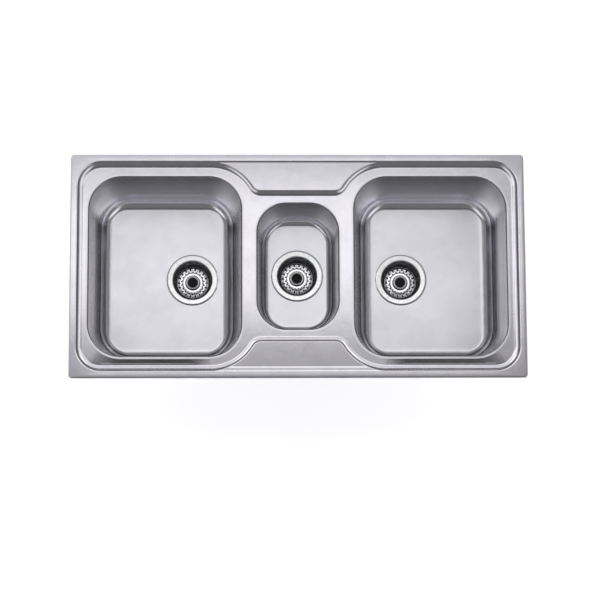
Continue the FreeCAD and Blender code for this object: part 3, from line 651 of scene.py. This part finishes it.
def build_bowl(side):
    """A drawn bowl: weld flange, lip, walls, floor and the seat round its drain."""
    bowl = bowl_frame(side)
    floor = bowl["floor"]
    drain = np.array(bowl["drain"])
    loops = []
    for inset, z, radius in bowl_stations(bowl):
        deep = min(1.0, max(0.0, (FIELD - LIP_ROUND - z) / (FIELD - LIP_ROUND - floor)))
        half_x = bowl["half_x"] - inset - bowl["more_x"] * deep
        half_y = bowl["half_y"] - inset - bowl["more_y"] * deep
        loop = round_rect(half_x, half_y, radius, bowl["x"])
        loops.append(np.column_stack([np.array(loop), np.full(len(loop), z)]))

    # the rise of the floor fades out up the walls
    floor_loop = loops[-1][:, :2]
    away = np.linalg.norm(floor_loop - drain, axis=1)
    for loop in loops:
        depth = np.clip((FIELD - loop[:, 2]) / (FIELD - floor), 0, 1)
        loop[:, 2] += floor_rise(away) * depth**2

    spoke = (floor_loop - drain) / away[:, None]
    seat = drain + spoke * SEAT
    for t in np.linspace(0, 1, 15)[1:]:
        xy = floor_loop + (seat - floor_loop) * t
        z = floor + floor_rise(np.linalg.norm(xy - drain, axis=1))
        loops.append(np.column_stack([xy, z]))
    for radius, drop in SEAT_PROFILE:
        xy = drain + spoke * radius
        loops.append(np.column_stack([xy, np.full(len(xy), floor - drop)]))
    work = Patchwork()
    work.rows(loops)
    return sheet_piece(f"{side}_bowl_shell", work, f"{side}_bowl")


# ---------------------------------------------------------------- strainers


def prism(points, low, high):
    """A closed prism over a plan outline."""
    bottom = [(x, y, low) for x, y in points]
    top = [(x, y, high) for x, y in points]
    count = len(points)
    faces = [tuple(range(count))[::-1], tuple(range(count, 2 * count))]
    for i in range(count):
        j = (i + 1) % count
        faces.append((i, j, count + j, count + i))
    return finished_mesh("prism", bottom + top, faces)


def ring_of_holes(centre, circle, radius, count, low, high, phase=0.0):
    """Round cutters on a circle, between two heights over the centre."""
    cx, cy, cz = centre
    out = []
    for k in range(count):
        a = 2 * math.pi * (k + phase) / count
        spot = (cx + circle * math.cos(a), cy + circle * math.sin(a))
        out.append(prism(arc_points(spot, radius, 0, 360, 20)[:-1], cz + low, cz + high))
    return out


def ring_of_slots(centre, inner, outer, width, count, low, high):
    """Radial cutters with round ends, between two heights over the centre."""
    cx, cy, cz = centre
    half = width / 2
    out = []
    for k in range(count):
        a = 2 * math.pi * k / count
        along = np.array([math.cos(a), math.sin(a)])
        across = np.array([-along[1], along[0]])
        points = []
        for start, middle in ((-90, outer - half), (90, inner + half)):
            for t in np.radians(np.linspace(start, start + 180, 9)):
                end = along * (middle + half * math.cos(t)) + across * half * math.sin(t)
                points.append((end[0] + cx, end[1] + cy))
        out.append(prism(points, cz + low, cz + high))
    return out


def cut(obj, cutters):
    """Cut a set of closed meshes out of an object."""
    bm = bmesh.new()
    for mesh in cutters:
        bm.from_mesh(mesh)
    joined = bpy.data.meshes.new("cutter")
    bm.to_mesh(joined)
    bm.free()
    tool = link("cutter", joined)
    modifier(obj, "BOOLEAN", "cut", operation="DIFFERENCE", object=tool, solver="EXACT")
    apply_modifiers(obj)
    bpy.data.objects.remove(tool)


def drain_centre(side):
    """The middle of a drain, at the level of the strainer's flange."""
    bowl = bowl_frame(side)
    return (*bowl["drain"], bowl["floor"])


def strainer_piece(obj, node, body):
    """Shade a strainer piece, which stands for a CAD node and rides on a body."""
    weighted_normals(obj)
    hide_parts(node)
    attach(obj, body)
    return obj


def build_cup(side):
    """The flanged cup: down the sheet's upper face to the screw hole, then back under it."""
    centre = drain_centre(side)
    profile = rounded(CUP_UPPER, 4) + rounded(CUP_LOWER, 3)
    cup = turned(f"{side}_strainer_cup", profile, centre, 112)
    cut(cup, ring_of_holes(centre, **CUP_HOLES))
    return strainer_piece(cup, f"{side}_strainer_body", "sink")


def build_basket(side):
    """The perforated basket: round holes in its trough and slots up its wall."""
    centre = drain_centre(side)
    profile = rounded(BASKET_UPPER, 4) + rounded(BASKET_LOWER, 4)
    basket = turned(f"{side}_basket_sheet", profile, centre, 108)
    cut(basket, ring_of_holes(centre, **BASKET_HOLES) + ring_of_slots(centre, **BASKET_SLOTS))
    return strainer_piece(basket, f"{side}_basket", f"{side}_basket")


def build_knob(side):
    """The basket's hollow grip, on a flat ring."""
    knob = turned(f"{side}_basket_grip", rounded(KNOB, 5), drain_centre(side), 72)
    return strainer_piece(knob, f"{side}_basket_knob", f"{side}_basket")


# ---------------------------------------------------------------- materials


class Nodes:
    """Short names for building a node tree, which starts out empty."""

    def __init__(self, tree):
        self.tree = tree
        self.tree.nodes.clear()

    def add(self, kind, inputs=None, **settings):
        """A node, with its inputs fed from sockets or plain values."""
        node = self.tree.nodes.new(kind)
        for key, value in settings.items():
            setattr(node, key, value)
        for key, value in (inputs or {}).items():
            self.feed(node.inputs[key], value)
        return node

    def feed(self, socket, value):
        if isinstance(value, bpy.types.NodeSocket):
            self.tree.links.new(value, socket)
        else:
            socket.default_value = value

    def math(self, operation, a, b=0.0):
        return self.add("ShaderNodeMath", {0: a, 1: b}, operation=operation).outputs[0]

    def times(self, a, b):
        return self.math("MULTIPLY", a, b)

    def vary(self, value, pattern, amount):
        """A value moved up and down by a pattern around one half."""
        return self.math("ADD", value, self.times(self.math("SUBTRACT", pattern, 0.5), amount))

    def axes(self, vector):
        """The X, Y and Z of a vector."""
        outputs = self.add("ShaderNodeSeparateXYZ", {0: vector}).outputs
        return outputs["X"], outputs["Y"], outputs["Z"]

    def ramp(self, value, low, high, to_low=0.0, to_high=1.0, smooth=True):
        """to_low at low, to_high at high, and level beyond them."""
        node = self.add(
            "ShaderNodeMapRange",
            {0: value, 1: low, 2: high, 3: to_low, 4: to_high},
            interpolation_type="SMOOTHSTEP" if smooth else "LINEAR",
        )
        return node.outputs[0]

    def noise(self, vector, scale, detail=3.0, rough=0.5, warp=0.0):
        inputs = {"Vector": vector, "Scale": scale, "Detail": detail, "Roughness": rough}
        inputs["Distortion"] = warp
        return self.add("ShaderNodeTexNoise", inputs).outputs["Fac"]

    def stretch(self, vector, scale, turn=(0.0, 0.0, 0.0)):
        node = self.add("ShaderNodeMapping", {"Vector": vector, "Rotation": turn, "Scale": scale})
        return node.outputs["Vector"]

    def mix_value(self, factor, a, b):
        node = self.add("ShaderNodeMix", data_type="FLOAT")
        self.feed(node.inputs[0], factor)
        self.feed(node.inputs[2], a)
        self.feed(node.inputs[3], b)
        return node.outputs[0]

    def mix_color(self, factor, a, b):
        node = self.add("ShaderNodeMix", data_type="RGBA")
        self.feed(node.inputs[0], factor)
        self.feed(node.inputs[6], a)
        self.feed(node.inputs[7], b)
        return node.outputs[2]

    def bump(self, height, strength, distance, normal=None):
        inputs = {"Height": height, "Strength": strength, "Distance": distance}
        if normal is not None:
            inputs["Normal"] = normal
        return self.add("ShaderNodeBump", inputs).outputs["Normal"]


def new_material(name):
    """A material, its node helper and the object's own coordinates."""
    material = bpy.data.materials.new(name)
    material.use_nodes = True
    n = Nodes(material.node_tree)
    return material, n, n.add("ShaderNodeTexCoord").outputs["Object"]


def finish_material(n, color, rough, normal, **more):
    inputs = {"Base Color": color, "Roughness": rough, "Normal": normal, **more}
    shader = n.add("ShaderNodeBsdfPrincipled", inputs)
    n.add("ShaderNodeOutputMaterial", {"Surface": shader.outputs[0]})


def gray(level, blue):
    """A gray with its blue part scaled."""
    return (level, level, level * blue, 1)


def toned(color, factor):
    """A color made darker by a factor."""
    return (*(c * factor for c in color), 1.0)


def sheet_steel(name, color, rough, wall_rough, wall_shade, brushed, turn, bowl_shade):
    """Satin stainless steel: fine grain, smudges, faint scratches, painted shade on the walls and
    painted light low on walls that face the front.

    turn holds the steepness where flats end and where walls begin, as the upward part of the
    normal. The wall shade factor darkens the walls as painted shade, the bowl shade switch is 1
    for painted shade near the lip of side walls and in the bend at a wall's foot and 0 for none,
    and brushed is 1 for brush marks and 0 for speckle.
    """
    material, n, place = new_material(name)
    normal = n.add("ShaderNodeNewGeometry").outputs["Normal"]
    normal_x, normal_y, normal_z = n.axes(normal)
    level = n.math("ABSOLUTE", normal_z)
    sideways = n.math("ABSOLUTE", normal_x)
    wall = n.ramp(level, *turn)
    forward = n.ramp(normal_y, -0.08, -0.30)
    _, _, height = n.axes(place)

    grain = n.noise(n.stretch(place, (90.0, 2600.0, 900.0)), 1.0, 2.0, 0.6)
    speckle = n.noise(place, 2300.0, 2.0, 0.6)
    smudge = n.noise(place, 7.0, 4.0, 0.55, 0.6)
    cloud = n.noise(place, 22.0, 3.0, 0.6)
    lines = n.noise(n.stretch(place, (40.0, 40.0, 420.0)), 1.0, 3.0, 0.65)
    band = n.noise(n.stretch(place, (2.5, 2.5, 85.0)), 1.0, 2.0, 0.55)
    scratch_space = n.stretch(place, (9.0, 160.0, 40.0), (0.0, 0.0, 0.6))
    scratch = n.ramp(n.noise(scratch_space, 3.0, 1.0, 0.4, 1.2), 0.70, 0.76)

    floor_rough = n.vary(n.vary(rough, smudge, 0.10), grain, 0.08)
    floor_rough = n.math("ADD", floor_rough, n.times(scratch, 0.03))
    roughness = n.mix_value(wall, floor_rough, n.vary(wall_rough, lines, 0.16))

    light = toned(color, 1.0)
    streak_and_shade = toned(color, wall_shade * 0.72)
    shade = toned(color, wall_shade * 0.40)
    flat_color = n.mix_color(n.ramp(cloud, 0.35, 0.7), light, toned(color, 0.94))
    # painted shade: the walls take darker copies of the steel's colour, streaks included
    wall_color = n.mix_color(n.ramp(lines, 0.35, 0.72), toned(color, wall_shade), streak_and_shade)

    # walls that face the front are painted lighter with depth, a painted reflection, and the side
    # walls get painted shade near the lip
    deep_wall_light = n.times(n.ramp(height, -0.02, -0.12, smooth=False), forward)
    wall_color = n.mix_color(n.times(deep_wall_light, 0.95), wall_color, light)
    lip_shade = n.times(n.ramp(height, -0.07, -0.03), n.ramp(sideways, 0.6, 0.9))
    wall_color = n.mix_color(n.times(n.times(lip_shade, bowl_shade), 0.6), wall_color, streak_and_shade)

    # painted shade in the bend at the foot of a wall, fainter on walls that face the front
    crease_shade = n.times(n.ramp(level, 0.70, 0.82), n.ramp(level, 0.968, 0.94))
    crease_shade = n.times(crease_shade, n.ramp(forward, 0.2, 1.0, bowl_shade, bowl_shade * 0.12))
    wall_color = n.mix_color(n.times(crease_shade, 0.8), wall_color, shade)

    bump = n.bump(n.mix_color(brushed, speckle, grain), 0.05, 0.0004)
    bump = n.bump(cloud, 0.05, 0.002, bump)
    bump = n.bump(band, n.times(wall, 0.45), 0.0012, bump)
    finish_material(n, n.mix_color(wall, flat_color, wall_color), roughness, bump, Metallic=1.0)
    return material


def polished_steel(name, light, dark, low, high):
    """Bright steel with soft stains; low and high are its least and greatest roughness."""
    material, n, place = new_material(name)
    spot = n.noise(place, 160.0, 3.0, 0.6)
    fine = n.noise(place, 1800.0, 2.0, 0.6)
    rough = n.ramp(spot, 0.3, 0.75, low, high)
    color = n.mix_color(n.ramp(spot, 0.4, 0.7), gray(light, 1.01), gray(dark, 1.02))
    finish_material(n, color, rough, n.bump(fine, 0.04, 0.0003), Metallic=1.0)
    return material


def plated_steel():
    """Zinc plate: cool, blotchy and dulled at random."""
    material, n, place = new_material("zinc_plate")
    blotch = n.noise(place, 130.0, 4.0, 0.6, 0.8)
    cells = n.add("ShaderNodeTexVoronoi", {"Vector": place, "Scale": 700.0}).outputs["Distance"]
    color = n.mix_color(n.ramp(blotch, 0.3, 0.7), (0.62, 0.63, 0.64, 1), (0.44, 0.45, 0.46, 1))
    rough = n.ramp(blotch, 0.3, 0.75, 0.30, 0.50)
    finish_material(n, color, rough, n.bump(cells, 0.10, 0.0003), Metallic=1.0)
    return material


def moulded_plastic():
    """White plastic with flow marks, fine pits and a little depth."""
    material, n, place = new_material("white_polypropylene")
    flow = n.noise(n.stretch(place, (60.0, 60.0, 12.0)), 1.0, 3.0, 0.5)
    pits = n.noise(place, 1400.0, 2.0, 0.5)
    color = n.mix_color(flow, (0.80, 0.80, 0.77, 1), (0.70, 0.70, 0.67, 1))
    rough = n.ramp(flow, 0.3, 0.7, 0.38, 0.52)
    glow = {
        "Subsurface Weight": 0.12,
        "Subsurface Radius": (0.004, 0.004, 0.003),
        "Subsurface Scale": 0.6,
    }
    finish_material(n, color, rough, n.bump(pits, 0.12, 0.0004), **glow)
    return material


def rubber(name, tone, cell, depth):
    """Dusty rubber, foam, or the black of painted shade, with pits of a given scale and depth."""
    material, n, place = new_material(name)
    dust = n.noise(place, 90.0, 4.0, 0.65)
    grit = n.noise(place, cell, 2.0, 0.6)
    pale = (*(t * 1.9 + 0.02 for t in tone), 1.0)
    color = n.mix_color(n.ramp(dust, 0.45, 0.8), (*tone, 1.0), pale)
    rough = n.ramp(dust, 0.3, 0.8, 0.62, 0.86)
    finish_material(n, color, rough, n.bump(grit, 0.35, depth))
    return material


def sound_pad():
    """Grey bitumen sheet with a pressed diamond pattern."""
    material, n, place = new_material("bitumen_pad")
    x, y, _ = n.axes(place)
    ridges = []
    for operation in ("ADD", "SUBTRACT"):
        wave = n.math("SINE", n.times(n.math(operation, x, y), 900.0))
        ridges.append(n.ramp(n.math("ABSOLUTE", wave), 0.0, 0.45))
    dirt = n.noise(place, 60.0, 4.0, 0.6)
    color = n.mix_color(n.ramp(dirt, 0.35, 0.75), (0.105, 0.105, 0.11, 1), (0.17, 0.17, 0.175, 1))
    rough = n.ramp(dirt, 0.3, 0.8, 0.55, 0.8)
    finish_material(n, color, rough, n.bump(n.times(*ridges), 0.6, 0.0006))
    return material


def paint(obj, *materials):
    """Give an object these materials; a sheet's second one is its underside's."""
    obj.data.materials.clear()
    for material in materials:
        obj.data.materials.append(material)


def paint_inside(obj, material, side, *zones):
    """A second material on the faces in any (radius, depth) zone round the drain."""
    x, y, top = (c * MM for c in drain_centre(side))
    obj.data.materials.append(material)
    for face in obj.data.polygons:
        middle = face.center
        away = math.hypot(middle.x - x, middle.y - y)
        if any(away < radius * MM and middle.z < top - depth * MM for radius, depth in zones):
            face.material_index = 1


# ---------------------------------------------------------------- carried-over CAD nodes


def dress_node(name, material, edge):
    """Give a CAD node its material, welded shading and edges of a rounding in millimetres."""
    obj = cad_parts[name]
    paint(obj, material)
    custom = obj.data.attributes.get("custom_normal")
    if custom is not None:
        obj.data.attributes.remove(custom)
    for polygon in obj.data.polygons:
        polygon.use_smooth = True
    modifier(obj, "WELD", "weld", merge_threshold=2e-6)
    limits = {"limit_method": "ANGLE", "angle_limit": math.radians(35), "use_clamp_overlap": True}
    modifier(obj, "BEVEL", "edge", width=edge * MM, segments=2, harden_normals=False, **limits)
    weighted_normals(obj)


def shade_stem_top(obj, material):
    """The top of a basket's stem is painted black, as shade in the grip's hollow."""
    obj.data.materials.append(material)
    heights = [(obj.matrix_world @ v.co).z for v in obj.data.vertices]
    limit = max(heights) - STEM_SHADE_DEPTH * MM
    for face in obj.data.polygons:
        if min(heights[i] for i in face.vertices) > limit:
            face.material_index = 1


# ---------------------------------------------------------------- surroundings, in metres

BACKDROP = 0.93
GROUND_GAP = 0.0015
GROUND_REACH = 30.0
LAMP_PLACE = (-0.07, 0.31, 1.35)
LAMP_SIZE = (1.26, 0.40)
LAMP_POWER = 1.10
LENS = 150.5
CAMERA_SIDE = (-0.0186, -0.198, 0.98)
CAMERA_DISTANCE = 5.5
CAMERA_TARGET = (0.004, -0.0765, 0.0)
CAMERA_UP = (0.0045, 1.0, 0.0)


def build_world():
    """A dim studio with lit panels, each a window in the ray's direction, before a pale backdrop."""
    world = bpy.data.worlds.new("studio")
    SCENE.world = world
    world.use_nodes = True
    n = Nodes(world.node_tree)
    ray = n.add("ShaderNodeTexCoord").outputs["Generated"]
    x, y, z = n.axes(ray)

    def window(value, low, high, soft):
        rise = n.ramp(value, low - soft, low + soft)
        fall = n.ramp(value, high + soft, high - soft)
        return n.times(rise, fall)

    # faint light all round, less of it straight above
    total = n.ramp(z, -0.1, 0.35, 0.08, 0.17)
    above = n.add("ShaderNodeVectorMath", {0: ray, 1: (0.0, -0.14, 0.99)}, operation="DOT_PRODUCT")
    wide, narrow = (math.cos(math.radians(angle)) for angle in (15, 7))
    shade = n.ramp(above.outputs["Value"], wide, narrow)
    total = n.times(total, n.math("SUBTRACT", 1.0, n.times(shade, 0.9)))

    overhead = n.times(n.ramp(y, 0.05, 0.24), window(x, -0.34, 0.15, 0.08))
    side_band = window(z, 0.44, 0.84, 0.07)
    panels = [
        (overhead, n.ramp(z, 0.84, 0.92), 0.52),
        (n.ramp(y, 0.35, 0.6), window(z, 0.24, 0.86, 0.08), 0.70),
        (n.ramp(y, -0.70, -0.90), window(z, 0.02, 0.25, 0.05), 0.40),
        (n.ramp(x, 0.30, 0.50), side_band, 0.78),
        (n.ramp(x, -0.30, -0.50), side_band, 0.78),
    ]
    for across, along, power in panels:
        total = n.math("ADD", total, n.times(n.times(across, along), power))
    seen = n.add("ShaderNodeLightPath").outputs["Is Camera Ray"]
    strength = n.mix_value(seen, total, BACKDROP)
    inputs = {"Color": (0.985, 0.985, 1.0, 1.0), "Strength": strength}
    back = n.add("ShaderNodeBackground", inputs)
    n.add("ShaderNodeOutputWorld", {"Surface": back.outputs[0]})


def build_floor():
    """Pale plain ground, clear when seen from below."""
    level = cad_low.z - GROUND_GAP
    signs = ((-1, -1), (1, -1), (1, 1), (-1, 1))
    corners = [(sx * GROUND_REACH, sy * GROUND_REACH, level) for sx, sy in signs]
    mesh = bpy.data.meshes.new("ground")
    mesh.from_pydata(corners, [], [(0, 1, 2, 3)])
    obj = link("ground", mesh)
    material, n, place = new_material("ground")
    cloud = n.noise(place, 3.0, 3.0, 0.5)
    color = n.mix_color(cloud, (0.90, 0.90, 0.91, 1), (0.86, 0.86, 0.87, 1))
    inputs = {"Base Color": color, "Roughness": 0.9, "Emission Color": color}
    inputs["Emission Strength"] = 0.75
    top = n.add("ShaderNodeBsdfPrincipled", inputs)
    below = n.add("ShaderNodeBsdfTransparent")
    under = n.add("ShaderNodeNewGeometry").outputs["Backfacing"]
    mix = n.add("ShaderNodeMixShader", {0: under, 1: top.outputs[0], 2: below.outputs[0]})
    n.add("ShaderNodeOutputMaterial", {"Surface": mix.outputs[0]})
    paint(obj, material)


def build_lamp():
    """A large soft lamp above the back of the sink, hidden from the camera."""
    data = bpy.data.lights.new("softbox", "AREA")
    data.shape = "RECTANGLE"
    data.size, data.size_y = LAMP_SIZE
    data.energy = LAMP_POWER
    obj = link("softbox", data)
    obj.location = LAMP_PLACE
    obj.rotation_mode = "QUATERNION"
    obj.rotation_quaternion = Vector((0.0, 0.0, -1.0)).to_track_quat("-Z", "Y")
    obj.visible_camera = False


def build_camera():
    """A long lens, high up and a little in front."""
    data = bpy.data.cameras.new("camera")
    data.sensor_width = 36.0
    data.lens = LENS
    data.clip_start, data.clip_end = 0.1, 100.0
    obj = link("camera", data)
    obj.location = Vector(CAMERA_SIDE).normalized() * CAMERA_DISTANCE
    ahead = (Vector(CAMERA_TARGET) - obj.location).normalized()
    right = ahead.cross(Vector(CAMERA_UP)).normalized()
    turn = Matrix((right, right.cross(ahead), -ahead)).transposed()
    obj.rotation_mode = "QUATERNION"
    obj.rotation_quaternion = turn.to_quaternion()
    SCENE.camera = obj


# ---------------------------------------------------------------- assembly

deck_steel = sheet_steel(
    "deck_steel",
    color=(0.765, 0.745, 0.80),
    rough=0.175,
    wall_rough=0.16,
    wall_shade=0.92,
    brushed=0.8,
    turn=(0.9, 0.45),
    bowl_shade=0.0,
)
# painted light: the bowls' steel is a lighter copy of the deck's, which brightens the bowl floors
bowl_steel = sheet_steel(
    "bowl_steel",
    color=(0.955, 0.945, 0.995),
    rough=0.30,
    wall_rough=0.18,
    wall_shade=0.48,
    brushed=0.35,
    turn=(0.991, 0.957),
    bowl_shade=1.0,
)
mill_steel = sheet_steel(
    "mill_steel",
    color=(0.50, 0.50, 0.515),
    rough=0.42,
    wall_rough=0.40,
    wall_shade=0.92,
    brushed=0.5,
    turn=(0.9, 0.45),
    bowl_shade=0.0,
)
bright = polished_steel("polished_steel", 0.93, 0.90, 0.22, 0.28)
# painted shade: a dark copy of the polished steel for the cup's throat
throat_shade = polished_steel("shaded_throat_steel", 0.24, 0.20, 0.16, 0.24)
perforated = polished_steel("perforated_steel", 0.96, 0.90, 0.13, 0.19)
grip = polished_steel("grip_steel", 0.48, 0.42, 0.18, 0.26)
zinc = plated_steel()
plastic = moulded_plastic()
black_rubber = rubber("black_rubber", (0.022, 0.022, 0.022), 900.0, 0.0003)
# painted shade: black for the grip's hollow, the ring round its foot and the stem's top
painted_shade_black = rubber("painted_shade_black", (0.012, 0.012, 0.013), 500.0, 0.0002)
foam = rubber("closed_cell_foam", (0.045, 0.045, 0.045), 450.0, 0.0009)
bitumen = sound_pad()

# material and edge rounding in millimetres of the CAD nodes that stay
DRAIN_NODES = (
    ("flange_gasket", black_rubber, 0.2),
    ("under_gasket", black_rubber, 0.4),
    ("waste_housing", plastic, 0.6),
    ("waste_screw", bright, 0.2),
    ("basket_stopper", black_rubber, 0.3),
    ("basket_stem", bright, 0.2),
    ("sound_pad", bitumen, 0.4),
)
CLAMP_NODES = (("bracket", 0.3), ("claw", 0.3), ("screw", 0.15))

paint(build_deck(), deck_steel, mill_steel)
for side in SIDES:
    paint(build_bowl(side), bowl_steel, mill_steel)
    cup = build_cup(side)
    paint(cup, bright)
    # the cup's throat below the flange is painted dark as shade
    paint_inside(cup, throat_shade, side, THROAT_SHADE_ZONE)
    paint(build_basket(side), perforated)
    knob = build_knob(side)
    paint(knob, grip)
    # the grip's hollow and the ring round its foot are painted black as shade
    paint_inside(knob, painted_shade_black, side, KNOB_HOLLOW_SHADE, KNOB_FOOT_SHADOW)
    for node, material, edge in DRAIN_NODES:
        dress_node(f"{side}_{node}", material, edge)
    # painted shade on the stem's top inside the grip
    shade_stem_top(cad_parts[f"{side}_basket_stem"], painted_shade_black)
dress_node("rim_seal", foam, 0.4)
for edge_name in ("front", "back", "left", "right"):
    dress_node(f"rail_{edge_name}", zinc, 0.25)
for place in CLAMPS:
    for node, edge in CLAMP_NODES:
        dress_node(f"{node}_{place}", zinc, edge)

build_world()
build_floor()
build_lamp()
build_camera()
SCENE.view_settings.view_transform = "Standard"
